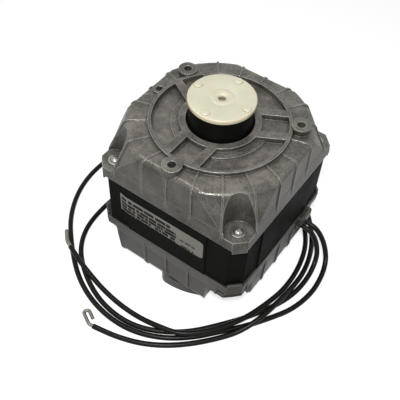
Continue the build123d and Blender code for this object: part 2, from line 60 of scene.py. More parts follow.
# Route of each lead in metres, from the grommet to its bare end
LEAD_A_ROUTE = (
    (0.0403, 0.0216, 0.0201),
    (0.0458, 0.0216, 0.0201),
    (0.0502, 0.0215, 0.0180),
    (0.0540, 0.0212, 0.0134),
    (0.0572, 0.0198, 0.0084),
    (0.0598, 0.0166, 0.0046),
    (0.0618, 0.0094, 0.0020),
    (0.0624, -0.0020, 0.0013),
    (0.0593, -0.0154, 0.0013),
    (0.0529, -0.0264, 0.0013),
    (0.0460, -0.0366, 0.0013),
    (0.0376, -0.0468, 0.0013),
    (0.0284, -0.0576, 0.0013),
    (0.0170, -0.0662, 0.0013),
    (0.0038, -0.0714, 0.0013),
    (-0.0104, -0.0722, 0.0013),
    (-0.0248, -0.0692, 0.0013),
    (-0.0388, -0.0624, 0.0013),
    (-0.0530, -0.0508, 0.0013),
    (-0.0654, -0.0382, 0.0013),
    (-0.0740, -0.0224, 0.0013),
    (-0.0774, -0.0060, 0.0013),
    (-0.0762, 0.0110, 0.0013),
    (-0.0704, 0.0282, 0.0013),
    (-0.0596, 0.0438, 0.0013),
    (-0.0442, 0.0562, 0.0013),
    (-0.0260, 0.0636, 0.0013),
    (-0.0064, 0.0652, 0.0013),
    (0.0122, 0.0604, 0.0013),
    (0.0274, 0.0500, 0.0013),
    (0.0386, 0.0386, 0.0013),
    (0.0464, 0.0276, 0.0013),
    (0.0510, 0.0168, 0.0013),
    (0.0531, 0.0058, 0.0013),
    (0.0531, -0.0034, 0.0020),
    (0.0530, -0.0112, 0.0044),
    (0.0526, -0.0194, 0.0069),
    (0.0514, -0.0276, 0.0069),
    (0.0488, -0.0352, 0.0048),
    (0.0446, -0.0426, 0.0019),
    (0.0386, -0.0506, 0.0013),
    (0.0304, -0.0600, 0.0013),
    (0.0212, -0.0680, 0.0013),
    (0.0114, -0.0738, 0.0013),
    (0.0020, -0.0772, 0.0013),
    (-0.0056, -0.0790, 0.0013),
    (-0.0122, -0.0801, 0.0013),
)
LEAD_B_ROUTE = (
    (0.0403, 0.0182, 0.0201),
    (0.0444, 0.0182, 0.0201),
    (0.0483, 0.0181, 0.0185),
    (0.0512, 0.0176, 0.0152),
    (0.0532, 0.0170, 0.0110),
    (0.0546, 0.0156, 0.0072),
    (0.0556, 0.0120, 0.0039),
    (0.0564, 0.0052, 0.0017),
    (0.0559, -0.0044, 0.0013),
    (0.0536, -0.0134, 0.0013),
    (0.0494, -0.0226, 0.0013),
    (0.0433, -0.0332, 0.0013),
    (0.0356, -0.0438, 0.0013),
    (0.0264, -0.0552, 0.0013),
    (0.0152, -0.0636, 0.0013),
    (0.0031, -0.0686, 0.0013),
    (-0.0099, -0.0693, 0.0013),
    (-0.0233, -0.0663, 0.0013),
    (-0.0366, -0.0594, 0.0013),
    (-0.0474, -0.0504, 0.0013),
    (-0.0538, -0.0384, 0.0013),
    (-0.0556, -0.0234, 0.0013),
    (-0.0546, -0.0068, 0.0013),
    (-0.0538, 0.0104, 0.0013),
    (-0.0510, 0.0274, 0.0013),
    (-0.0432, 0.0428, 0.0013),
    (-0.0300, 0.0540, 0.0013),
    (-0.0132, 0.0586, 0.0013),
    (0.0044, 0.0566, 0.0013),
    (0.0202, 0.0494, 0.0013),
    (0.0320, 0.0404, 0.0013),
    (0.0398, 0.0312, 0.0013),
    (0.0456, 0.0220, 0.0013),
    (0.0488, 0.0114, 0.0013),
    (0.0502, 0.0006, 0.0015),
    (0.0501, -0.0104, 0.0025),
    (0.0484, -0.0218, 0.0048),
    (0.0446, -0.0346, 0.0050),
    (0.0378, -0.0464, 0.0046),
    (0.0302, -0.0554, 0.0045),
    (0.0228, -0.0610, 0.0046),
    (0.0138, -0.0630, 0.0043),
    (0.0030, -0.0637, 0.0016),
    (-0.0094, -0.0637, 0.0013),
    (-0.0220, -0.0622, 0.0020),
    (-0.0334, -0.0598, 0.0042),
    (-0.0426, -0.0570, 0.0045),
    (-0.0502, -0.0538, 0.0043),
)
# Order of a lead's curve, steps between two of its points, and steps round a quarter of it
LEAD_CURVE_ORDER = 3
LEAD_CURVE_STEPS = 12
LEAD_ROUND_STEPS = 6

# Steepest angle in degrees that is shaded smooth
PIECE_SMOOTH_DEGREES = 38.0
CORNER_SMOOTH_DEGREES = 32.0

# Turn of the rounded normal, and openness of a corner, where each mask starts and is full
EDGE_TURNS = (0.995, 0.86)
CORNER_OPENNESS = (0.92, 0.35)

# Cast metal: share of metal and of plain shine, scales of the marks, and reach of the painted
# corner shade
CAST_METALLIC = 0.26
CAST_SPECULAR = 0.25
CAST_BLOTCH_SCALE = 95.0
CAST_GRAIN_SCALE = 1500.0
CAST_GRAIN_SHARE = 0.40
CAST_STREAK_WIDTH = 420.0
CAST_STREAK_LENGTH = 26.0
CAST_STREAK_SHARE = 0.45
CAST_CORNER_SHADE_REACH = 0.0019
CAST_CORNER_SHADE_SHARE = 0.90
# Share of the bright edge colour: rubbed wear and painted highlight
CAST_RUBBED_AND_HIGHLIGHT_SHARE = 0.85
CAST_PIT_SHADE_SHARE = 0.45
CAST_PIT_DEPTH = 0.5
CAST_RELIEF = 0.60
CAST_RELIEF_DEPTH = 0.0004
CAST_ROUGHNESS = (0.19, 0.33)
# Darkest and palest tone, as shares of the casting's colour, on the tops and on the walls; the
# darker wall tones are painted shade
CAST_TOP_TONES = (0.53, 1.42)
CAST_WALL_SHADE_TONES = (0.30, 0.78)
# Upward part of the normal where a wall starts and where a top starts
CAST_WALL_SLOPES = (0.20, 0.72)
# Share of the darker wall tone on walls: painted shade
CAST_WALL_SHADE_SHARE = 0.72
CAST_WALL_ROUGHNESS = 0.22
# Share of the casting's colour on each shell; the rear shell's lower share is painted shade
FRONT_SHELL_SHADE_TONE = 1.0
REAR_SHELL_SHADE_TONE = 0.52

# Wide scoop at the rear shell's label corner, and the block it is cut from, in metres
CORNER_BLOCK_PLACE = 0.0260
CORNER_BLOCK_RADIUS = 0.0120
CORNER_BLOCK_LOW = 0.0030
CORNER_BLOCK_HIGH = 0.0190
CORNER_SLAB_RADIUS = 0.0516
CORNER_SLAB_HIGH = 0.02075
CORNER_SLAB_MIDDLE = 0.0268
CORNER_SLAB_SIDE = 0.0254
CORNER_WELL_RADIUS = 0.0038
CORNER_WELL_HIGH = 0.0230
CORNER_SCOOP_PLACE = 0.0340
CORNER_SCOOP_RADIUS = 0.0119
CORNER_SCOOP_LOW_RADIUS = 0.0127
CORNER_SCOOP_TOP = 0.0182
CORNER_TOOL_OVERLAP = 0.001
CORNER_MERGE = 0.000002

# Stippled band on the steps of the front shell's pockets, in metres
STIPPLE_INNER_RADIUS = 0.0186
STIPPLE_OUTER_RADIUS = 0.0218
STIPPLE_LOW = 0.0805
STIPPLE_HIGH = 0.0814
STIPPLE_SCALE = 1150.0

# Rivet heads in metres
RIVET_PITCH_HALF = 0.0332
RIVET_HEAD_RISE = 0.0017
RIVET_TAIL_RISE = 0.0013
RIVET_FLANGE_RADIUS = 0.0034
RIVET_FLANGE_RISE = 0.0005
RIVET_FLANGE_ROUNDING = 0.00022
RIVET_COLOUR = (0.30, 0.295, 0.27)
# Width and rise of each inset from the flange's rim to the dome's top
RIVET_INSETS = (
    (0.00110, 0.0),
    (0.00015, -0.00022),
    (0.00005, 0.00040),
    (0.00030, 0.00038),
    (0.00045, 0.00024),
    (0.00060, 0.00012),
)

# Hub disc in metres
DISC_THICKNESS = 0.0024
DISC_TOP = 0.09555
DISC_RIM_ROUNDING = 0.0006
PEG_RADIUS = 0.0019
PEG_PITCH_RADIUS = 0.0125
PEG_COUNT = 4
PEG_ROOT = 0.0010
PEG_ROUNDING = 0.0005
# Tan tone of the disc's side faces, as the rim looks in shade: painted shade tone
HUB_RIM_SHADE_TONE = (0.70, 0.63, 0.44)
# Near-black laid into the hub's hole and dimple: painted shade
HUB_HOLLOW_SHADE = (0.055, 0.048, 0.036)
# Width and rise of each inset from the disc's rim to the middle hole
DISC_INSETS = (
    (0.00880, 0.0),
    (0.00025, -0.00012),
    (0.00025, 0.00012),
    (0.00200, 0.0),
    (0.00130, -0.00055),
    (0.00020, -0.00035),
    (0.00003, -0.00210),
)

# Rating label: left end of its bars in metres, level at which noise breaks a bar, and row shift
LABEL_BARS_LEFT = -0.0253
LABEL_BREAK_LEVEL = 0.38
LABEL_ROW_SHIFT = 7.31

# Share of a sheet's thickness that its seam takes
SHEET_SEAM = 0.16

# Finishes of the inner pieces: name, colour, metallic, roughness, blotch and nodes
INNER_FINISHES = (
    ("bare_copper", (0.72, 0.36, 0.2), 1.0, 0.35, 0.12, ("shading_rings",)),
    ("bobbin_plastic", (0.68, 0.66, 0.6), 0.0, 0.5, 0.12,
     ("bobbin_1", "bobbin_2", "bobbin_3", "bobbin_4")),
    ("enamelled_wire", (0.42, 0.14, 0.05), 0.7, 0.32, 0.12,
     ("winding_1", "winding_2", "winding_3", "winding_4")),
    ("sintered_bronze", (0.5, 0.34, 0.16), 0.9, 0.5, 0.12, ("front_bearing", "rear_bearing")),
    ("pressed_steel", (0.5, 0.5, 0.49), 1.0, 0.4, 0.12, ("front_retainer", "rear_retainer")),
    ("oiled_felt", (0.42, 0.36, 0.24), 0.0, 0.9, 0.2, ("front_felt", "rear_felt")),
    ("rotor_sheets", (0.2, 0.2, 0.21), 0.8, 0.5, 0.12, ("rotor_core",)),
    ("rotor_casting", (0.6, 0.6, 0.6), 0.9, 0.42, 0.12, ("rotor_cage",)),
    ("washer_plastic", (0.1, 0.08, 0.06), 0.0, 0.5, 0.12, ("thrust_washers",)),
    ("grommet_rubber", (0.015, 0.015, 0.014), 0.0, 0.6, 0.12, ("lead_grommet",)),
)

# Stage in metres: each lamp's place and width, the floor, and the camera's place and axes
TOP_LAMP = ((-0.19, -0.03, 0.60), 0.135)
FRONT_LAMP = ((0.00, -0.24, 0.42), 0.14)
NEAR_LAMP = ((0.13, -0.24, 0.46), 0.060)
LAMP_TARGET = (0, 0, 0.05)
FLOOR_SIZE = 4.0
FLOOR_DROP = 0.00005
FLOOR_SHADE = 0.42
FLOOR_GLOW = 0.71
CAMERA_PLACE = (0.10837, -0.18028, 0.28233)
CAMERA_RIGHT = (0.81318, 0.58075, 0.03832)
CAMERA_UP = (-0.46935, 0.61542, 0.63322)
CAMERA_BACK = (0.34416, -0.53290, 0.77302)


def colour_setting(name, description, default):
    """Return a colour setting."""
    return bpy.props.FloatVectorProperty(
        name=name, description=description, subtype="COLOR", size=3, min=0.0, max=1.0,
        default=default)


def length_setting(name, description, low, high, default):
    """Return a length setting in metres."""
    return bpy.props.FloatProperty(
        name=name, description=description, subtype="DISTANCE", unit="LENGTH", min=low, max=high,
        default=default)


def power_setting(name, description, default):
    """Return a lamp's power setting in watts."""
    return bpy.props.FloatProperty(
        name=name, description=description, subtype="POWER", unit="POWER", min=0.0, max=50.0,
        default=default)


class FanMotorSettings(bpy.types.PropertyGroup):
    """Sizes and colours of the motor's dressing."""

    casting_colour: colour_setting(
        "Casting Colour", "Cast metal of both shells", (0.126, 0.120, 0.102))
    # Bright colour on the castings' edges: rubbed wear and painted highlight
    edge_wear_and_highlight: colour_setting(
        "Rubbed Metal", "Cast metal where edges take rubbed wear and painted highlight", (0.42, 0.405, 0.375))
    # Near-black laid into the castings' corners and creases: painted shade
    corner_shade_colour: colour_setting(
        "Corner Shade", "Painted shade in the corners of the castings", (0.030, 0.028, 0.024))
    edge_radius: length_setting(
        "Edge Rounding", "Soft radius on the edges of the castings", 0.0, 0.002, 0.0006)
    stack_colour: colour_setting(
        "Stack Varnish", "Black varnish on the lamination stack", (0.0080, 0.0080, 0.0073))
    sheet_thickness: length_setting(
        "Sheet Thickness", "Thickness of one lamination", 0.0002, 0.002, 0.0005)
    label_colour: colour_setting(
        "Label Foil", "Silver foil of the rating label", (0.232, 0.225, 0.193))
    label_ink: colour_setting(
        "Label Ink", "Ink of the plain bars on the label", (0.004, 0.004, 0.004))
    label_row: length_setting(
        "Label Row", "Pitch of the rows of bars on the label", 0.0005, 0.005, 0.0022)
    hub_colour: colour_setting(
        "Hub Plastic", "Natural plastic of the fan hub", (0.545, 0.525, 0.399))
    hub_radius: length_setting(
        "Hub Radius", "Radius of the fan hub's disc", 0.010, 0.015, 0.0150)
    peg_rise: length_setting(
        "Peg Rise", "Height of the hub's pegs above the disc", 0.0005, 0.0034, 0.0007)
    cup_colour: colour_setting(
        "Cup Plastic", "Black plastic of the hub cup", (0.0035, 0.0035, 0.0030))
    lead_colour: colour_setting(
        "Lead Jacket", "Black jacket of the leads", (0.0070, 0.0070, 0.0062))
    lead_diameter: length_setting(
        "Lead Diameter", "Outer diameter of a lead", 0.001, 0.005, 0.0026)
    strand_colour: colour_setting(
        "Tinned Strands", "Bare tinned strands at the lead ends", (0.20, 0.19, 0.165))
    camera_lens: bpy.props.FloatProperty(
        name="Camera Lens", description="Focal length of the stage camera in millimetres",
        min=20.0, max=200.0, default=59.29)
    top_power: power_setting("Top Lamp", "Power of the lamp overhead on the left", 0.75)
    front_power: power_setting("Front Lamp", "Power of the lamp before the label's side", 0.25)
    near_power: power_setting("Near Lamp", "Power of the small lamp above the camera", 2.00)
    sky_strength: bpy.props.FloatProperty(
        name="Room Light", description="Strength of the plain room light",
        min=0.0, max=2.0, default=0.18)


def settings():
    """Return the motor's settings."""
    return bpy.context.scene.fan_motor


def deselect_all():
    """Leave edit mode and deselect every object."""
    if bpy.context.object and bpy.context.object.mode != "OBJECT":
        bpy.ops.object.mode_set(mode="OBJECT")
    bpy.ops.object.select_all(action="DESELECT")


def pick(piece):
    """Make one piece the only selected and the active one."""
    deselect_all()
    piece.select_set(True)
    bpy.context.view_layer.objects.active = piece


def select_faces(piece, test):
    """In edit mode, select only the faces that pass a test."""
    bpy.ops.mesh.select_mode(type="FACE")
    bpy.ops.mesh.select_all(action="DESELECT")
    mesh = bmesh.from_edit_mesh(piece.data)
    for face in mesh.faces:
        if test(face):
            face.select_set(True)
    bmesh.update_edit_mesh(piece.data)


def select_edges(piece, test):
    """In edit mode, select only the edges that pass a test."""
    bpy.ops.mesh.select_mode(type="EDGE")
    bpy.ops.mesh.select_all(action="DESELECT")
    mesh = bmesh.from_edit_mesh(piece.data)
    for edge in mesh.edges:
        if test(edge):
            edge.select_set(True)
    bmesh.update_edit_mesh(piece.data)


def own_copy(piece, move):
    """Return a copy with its own mesh, moved and with its place in that mesh."""
    pick(piece)
    bpy.ops.object.duplicate(linked=False)
    copy = bpy.context.object
    copy.location = move
    bpy.ops.object.transform_apply(location=True, rotation=True, scale=True)
    return copy


def joined(pieces, name):
    """Return several meshes as one piece with smooth faces and sharp edges."""
    deselect_all()
    for piece in pieces:
        piece.select_set(True)
    bpy.context.view_layer.objects.active = pieces[0]
    bpy.ops.object.join()
    piece = bpy.context.object
    piece.name = name
    piece.data.name = name
    bpy.ops.object.mode_set(mode="EDIT")
    bpy.ops.mesh.select_all(action="SELECT")
    bpy.ops.mesh.normals_make_consistent(inside=False)
    bpy.ops.object.mode_set(mode="OBJECT")
    bpy.ops.object.shade_smooth_by_angle(angle=math.radians(PIECE_SMOOTH_DEGREES))
    return piece


def tree_of(name):
    """Return a new material with its node tree, holding only the output."""
    material = bpy.data.materials.new(name)
    material.use_nodes = True
    tree = material.node_tree
    tree.nodes.clear()
    output = tree.nodes.new("ShaderNodeOutputMaterial")
    return material, tree, output


def place(tree, kind, **values):
    """Add a node and set its properties and input values by name."""
    node = tree.nodes.new(kind)
    for key, value in values.items():
        if hasattr(node, key):
            setattr(node, key, value)
        else:
            node.inputs[key.replace("_", " ")].default_value = value
    return node


def colour(value):
    """Return a colour with full alpha."""
    return (value[0], value[1], value[2], 1.0)


def principled(tree, output, **values):
    """Add a Principled shader joined to the output."""
    shader = tree.nodes.new("ShaderNodeBsdfPrincipled")
    for key, value in values.items():
        shader.inputs[key.replace("_", " ")].default_value = value
    tree.links.new(shader.outputs["BSDF"], output.inputs["Surface"])
    return shader


def new_group(name, inputs, outputs):
    """Return a shader group with named sockets, and its two end nodes."""
    group = bpy.data.node_groups.new(name, "ShaderNodeTree")
    for label, kind, value in inputs:
        socket = group.interface.new_socket(name=label, in_out="INPUT", socket_type=kind)
        if value is not None:
            socket.default_value = value
    for label, kind in outputs:
        group.interface.new_socket(name=label, in_out="OUTPUT", socket_type=kind)
    start = group.nodes.new("NodeGroupInput")
    end = group.nodes.new("NodeGroupOutput")
    return group, start, end


def blotch_group():
    """Return the group that makes uneven blotches and fine grain."""
    if "Blotches" in bpy.data.node_groups:
        return bpy.data.node_groups["Blotches"]
    group, start, end = new_group(
        "Blotches",
        [
            ("Blotch Scale", "NodeSocketFloat", 90.0),
            ("Grain Scale", "NodeSocketFloat", 1800.0),
            ("Grain Share", "NodeSocketFloat", 0.3),
        ],
        [("Blotch", "NodeSocketFloat"), ("Grain", "NodeSocketFloat"), ("Both", "NodeSocketFloat")],
    )
    spot = group.nodes.new("ShaderNodeTexCoord")
    wide = place(group, "ShaderNodeTexNoise", Detail=4.0, Roughness=0.6)
    fine = place(group, "ShaderNodeTexNoise", Detail=2.0, Roughness=0.6)
    both = place(group, "ShaderNodeMix", data_type="FLOAT")
    link = group.links.new
    link(spot.outputs["Object"], wide.inputs["Vector"])
    link(spot.outputs["Object"], fine.inputs["Vector"])
    link(start.outputs["Blotch Scale"], wide.inputs["Scale"])
    link(start.outputs["Grain Scale"], fine.inputs["Scale"])
    link(start.outputs["Grain Share"], both.inputs[0])
    link(wide.outputs["Fac"], both.inputs[2])
    link(fine.outputs["Fac"], both.inputs[3])
    link(wide.outputs["Fac"], end.inputs["Blotch"])
    link(fine.outputs["Fac"], end.inputs["Grain"])
    link(both.outputs[0], end.inputs["Both"])
    return group


def streak_group():
    """Return the group that draws soft marks along the shaft, as a die leaves on walls."""
    if "Streaks" in bpy.data.node_groups:
        return bpy.data.node_groups["Streaks"]
    group, start, end = new_group(
        "Streaks",
        [("Width", "NodeSocketFloat", 400.0), ("Length", "NodeSocketFloat", 30.0)],
        [("Streak", "NodeSocketFloat")],
    )
    spot = group.nodes.new("ShaderNodeTexCoord")
    scale = group.nodes.new("ShaderNodeCombineXYZ")
    drawn = place(group, "ShaderNodeVectorMath", operation="MULTIPLY")
    noise = place(group, "ShaderNodeTexNoise", Scale=1.0, Detail=3.0, Roughness=0.55)
    link = group.links.new
    link(start.outputs["Width"], scale.inputs["X"])
    link(start.outputs["Width"], scale.inputs["Y"])
    link(start.outputs["Length"], scale.inputs["Z"])
    link(spot.outputs["Object"], drawn.inputs[0])
    link(scale.outputs[0], drawn.inputs[1])
    link(drawn.outputs["Vector"], noise.inputs["Vector"])
    link(noise.outputs["Fac"], end.inputs["Streak"])
    return group


def edge_group():
    """Return the group that finds edges for rubbed wear and painted highlight, and corners for
    painted shade, and rounds the normal.
    """
    if "Edges" in bpy.data.node_groups:
        return bpy.data.node_groups["Edges"]
    group, start, end = new_group(
        "Edges",
        [("Radius", "NodeSocketFloat", 0.0005), ("Reach", "NodeSocketFloat", 0.002)],
        [
            ("Edge", "NodeSocketFloat"),
            ("Corner", "NodeSocketFloat"),
            ("Normal", "NodeSocketVector"),
        ],
    )
    bevel = place(group, "ShaderNodeBevel", samples=4)
    geometry = group.nodes.new("ShaderNodeNewGeometry")
    dot = place(group, "ShaderNodeVectorMath", operation="DOT_PRODUCT")
    inner = place(group, "ShaderNodeAmbientOcclusion", samples=6, only_local=False)
    outer = place(group, "ShaderNodeMath", operation="SUBTRACT", use_clamp=True)
    turned = span(group, dot.outputs["Value"], *EDGE_TURNS, 0.0, 1.0)
    corner = span(group, inner.outputs["AO"], *CORNER_OPENNESS, 0.0, 1.0)
    link = group.links.new
    link(start.outputs["Radius"], bevel.inputs["Radius"])
    link(start.outputs["Reach"], inner.inputs["Distance"])
    link(bevel.outputs["Normal"], dot.inputs[0])
    link(geometry.outputs["Normal"], dot.inputs[1])
    link(turned, outer.inputs[0])
    link(corner, outer.inputs[1])
    link(outer.outputs["Value"], end.inputs["Edge"])
    link(corner, end.inputs["Corner"])
    link(bevel.outputs["Normal"], end.inputs["Normal"])
    return group


def use_group(tree, group, **values):
    """Place a group in a material with its own values."""
    node = tree.nodes.new("ShaderNodeGroup")
    node.node_tree = group
    for key, value in values.items():
        node.inputs[key.replace("_", " ")].default_value = value
    return node


def scaled(values, share):
    """Return a colour multiplied by a share, none of it above one."""
    return colour([min(1.0, channel * share) for channel in values])


def mix_colour(tree, factor, first, second):
    """Add a colour mix; each colour is a value or an output socket."""
    node = place(tree, "ShaderNodeMix", data_type="RGBA")
    for index, value in ((0, factor), (6, first), (7, second)):
        if isinstance(value, bpy.types.NodeSocket):
            tree.links.new(value, node.inputs[index])
        else:
            node.inputs[index].default_value = value
    return node.outputs[2]


def span(tree, value, low, high, to_low, to_high):
    """Add a clamped map from one range to another."""
    node = place(
        tree, "ShaderNodeMapRange", clamp=True, From_Min=low, From_Max=high, To_Min=to_low,
        To_Max=to_high)
    tree.links.new(value, node.inputs["Value"])
    return node.outputs["Result"]


def math_node(tree, operation, first, second=None):
    """Add a math node; each operand is a number or an output socket."""
    node = place(tree, "ShaderNodeMath", operation=operation)
    for index, value in enumerate((first, second)):
        if isinstance(value, bpy.types.NodeSocket):
            tree.links.new(value, node.inputs[index])
        elif value is not None:
            node.inputs[index].default_value = value
    return node.outputs[0]


def joined_masks(tree, first, second):
    """Return the larger of two masks."""
    return math_node(tree, "MAXIMUM", first, second)


def bump(tree, height, strength, distance, normal=None):
    """Add a bump from a height socket."""
    node = place(tree, "ShaderNodeBump", Strength=strength, Distance=distance)
    tree.links.new(height, node.inputs["Height"])
    if normal is not None:
        tree.links.new(normal, node.inputs["Normal"])
    return node.outputs["Normal"]


def split(tree, socket):
    """Split a vector socket and return the node with its three outputs."""
    node = tree.nodes.new("ShaderNodeSeparateXYZ")
    tree.links.new(socket, node.inputs[0])
    return node


def background_seen(tree):
    """Return the mask of rays that show the background: from the camera, metal or glass."""
    path = tree.nodes.new("ShaderNodeLightPath")
    seen = joined_masks(tree, path.outputs["Is Camera Ray"], path.outputs["Is Glossy Ray"])
    return joined_masks(tree, seen, path.outputs["Is Transmission Ray"])


def within(tree, value, low, high):
    """Return the mask of where a value lies between two limits."""
    above = math_node(tree, "GREATER_THAN", value, low)
    return math_node(tree, "MULTIPLY", above, math_node(tree, "LESS_THAN", value, high))


def band_mask(tree):
    """Return the mask of the stippled band on the steps of the front shell's pockets."""
    spot = tree.nodes.new("ShaderNodeTexCoord")
    parts = split(tree, spot.outputs["Object"])
    square_x = math_node(tree, "MULTIPLY", parts.outputs["X"], parts.outputs["X"])
    square_y = math_node(tree, "MULTIPLY", parts.outputs["Y"], parts.outputs["Y"])
    radius = math_node(tree, "SQRT", math_node(tree, "ADD", square_x, square_y))
    inside = within(tree, radius, STIPPLE_INNER_RADIUS, STIPPLE_OUTER_RADIUS)
    level = within(tree, parts.outputs["Z"], STIPPLE_LOW, STIPPLE_HIGH)
    dots = place(tree, "ShaderNodeTexVoronoi", Scale=STIPPLE_SCALE)
    tree.links.new(spot.outputs["Object"], dots.inputs["Vector"])
    pits = span(tree, dots.outputs["Distance"], 0.25, 0.55, 1.0, 0.0)
    return math_node(tree, "MULTIPLY", math_node(tree, "MULTIPLY", inside, level), pits)


def cast_metal(name, painted_shade_tone, stippled=False):
    """Return the die-cast metal of the shells: blotched, with rubbed wear and painted highlight on
    edges, painted shade in corners, a darker painted shade copy on walls, and a lower shade tone on
    the rear shell.
    """
    values = settings()
    material, tree, output = tree_of(name)
    shader = principled(
        tree, output, Metallic=CAST_METALLIC, Specular_IOR_Level=CAST_SPECULAR)
    blotches = use_group(
        tree, blotch_group(), Blotch_Scale=CAST_BLOTCH_SCALE, Grain_Scale=CAST_GRAIN_SCALE,
        Grain_Share=CAST_GRAIN_SHARE)
    streaks = use_group(
        tree, streak_group(), Width=CAST_STREAK_WIDTH, Length=CAST_STREAK_LENGTH)
    edges = use_group(tree, edge_group(), Radius=values.edge_radius, Reach=CAST_CORNER_SHADE_REACH)
    tone = span(tree, blotches.outputs["Both"], 0.40, 0.60, 0.0, 1.0)
    top_low, top_high, wall_shade_low, wall_shade_high = (
        scaled(values.casting_colour, share * painted_shade_tone)
        for share in CAST_TOP_TONES + CAST_WALL_SHADE_TONES)
    top = mix_colour(tree, tone, top_low, top_high)
    drawn_share = span(tree, streaks.outputs["Streak"], 0.50, 0.72, 0.0, CAST_STREAK_SHARE)
    drawn = mix_colour(tree, drawn_share, top, top_low)
    # Walls take the darker wall tones by the slope of their normal: painted shade.
    geometry = tree.nodes.new("ShaderNodeNewGeometry")
    slope = split(tree, geometry.outputs["Normal"])
    wall_shade_share = span(tree, slope.outputs["Z"], *CAST_WALL_SLOPES, CAST_WALL_SHADE_SHARE, 0.0)
    wall = mix_colour(tree, tone, wall_shade_low, wall_shade_high)
    plain = mix_colour(tree, wall_shade_share, drawn, wall)
    # Corners and creases darken towards the corner shade colour: painted shade.
    corner_shade_share = span(tree, edges.outputs["Corner"], 0.0, 1.0, 0.0, CAST_CORNER_SHADE_SHARE)
    shade_painted = mix_colour(tree, corner_shade_share, plain, colour(values.corner_shade_colour))
    height = blotches.outputs["Both"]
    if stippled:
        # The stipple's pits take the corner shade colour too: painted shade in the pits.
        pits = band_mask(tree)
        pit_shade_share = math_node(tree, "MULTIPLY", pits, CAST_PIT_SHADE_SHARE)
        shade_painted = mix_colour(tree, pit_shade_share, shade_painted, colour(values.corner_shade_colour))
        height = math_node(
            tree, "SUBTRACT", height, math_node(tree, "MULTIPLY", pits, CAST_PIT_DEPTH))
    # Edges brighten towards the rubbed colour: partly rubbed wear, partly painted highlight.
    rubbed_highlight_share = span(tree, edges.outputs["Edge"], 0.0, 1.0, 0.0, CAST_RUBBED_AND_HIGHLIGHT_SHARE)
    rubbed = mix_colour(tree, rubbed_highlight_share, shade_painted, scaled(values.edge_wear_and_highlight, painted_shade_tone))
    tree.links.new(rubbed, shader.inputs["Base Color"])
    smooth = span(tree, blotches.outputs["Blotch"], 0.35, 0.68, *CAST_ROUGHNESS)
    extra = math_node(tree, "MULTIPLY", wall_shade_share, CAST_WALL_ROUGHNESS)
    tree.links.new(math_node(tree, "ADD", smooth, extra), shader.inputs["Roughness"])
    relief = bump(tree, height, CAST_RELIEF, CAST_RELIEF_DEPTH, edges.outputs["Normal"])
    tree.links.new(relief, shader.inputs["Normal"])
    return material


def plain_finish(
        name, base, metallic, rough, blotch=0.12, grain_scale=1500.0, relief=0.1, **extra):
    """Return a simple finish with blotches, grain and a little relief."""
    material, tree, output = tree_of(name)
    shader = principled(tree, output, Metallic=metallic, **extra)
    blotches = use_group(
        tree, blotch_group(), Blotch_Scale=120.0, Grain_Scale=grain_scale, Grain_Share=0.4)
    tone = span(tree, blotches.outputs["Both"], 0.35, 0.68, 0.0, 1.0)
    base_mix = mix_colour(tree, tone, scaled(base, 1.0 - blotch), scaled(base, 1.0 + blotch))
    tree.links.new(base_mix, shader.inputs["Base Color"])
    uneven = span(tree, blotches.outputs["Blotch"], 0.3, 0.7, rough * 0.85, rough * 1.15)
    tree.links.new(uneven, shader.inputs["Roughness"])
    tree.links.new(bump(tree, blotches.outputs["Grain"], relief, 0.0002), shader.inputs["Normal"])
    return material


def dress(material, *names):
    """Give a material to CAD nodes or pieces."""
    for name in names:
        piece = nodes.get(name) or bpy.data.objects[name]
        piece.data.materials.clear()
        piece.data.materials.append(material)


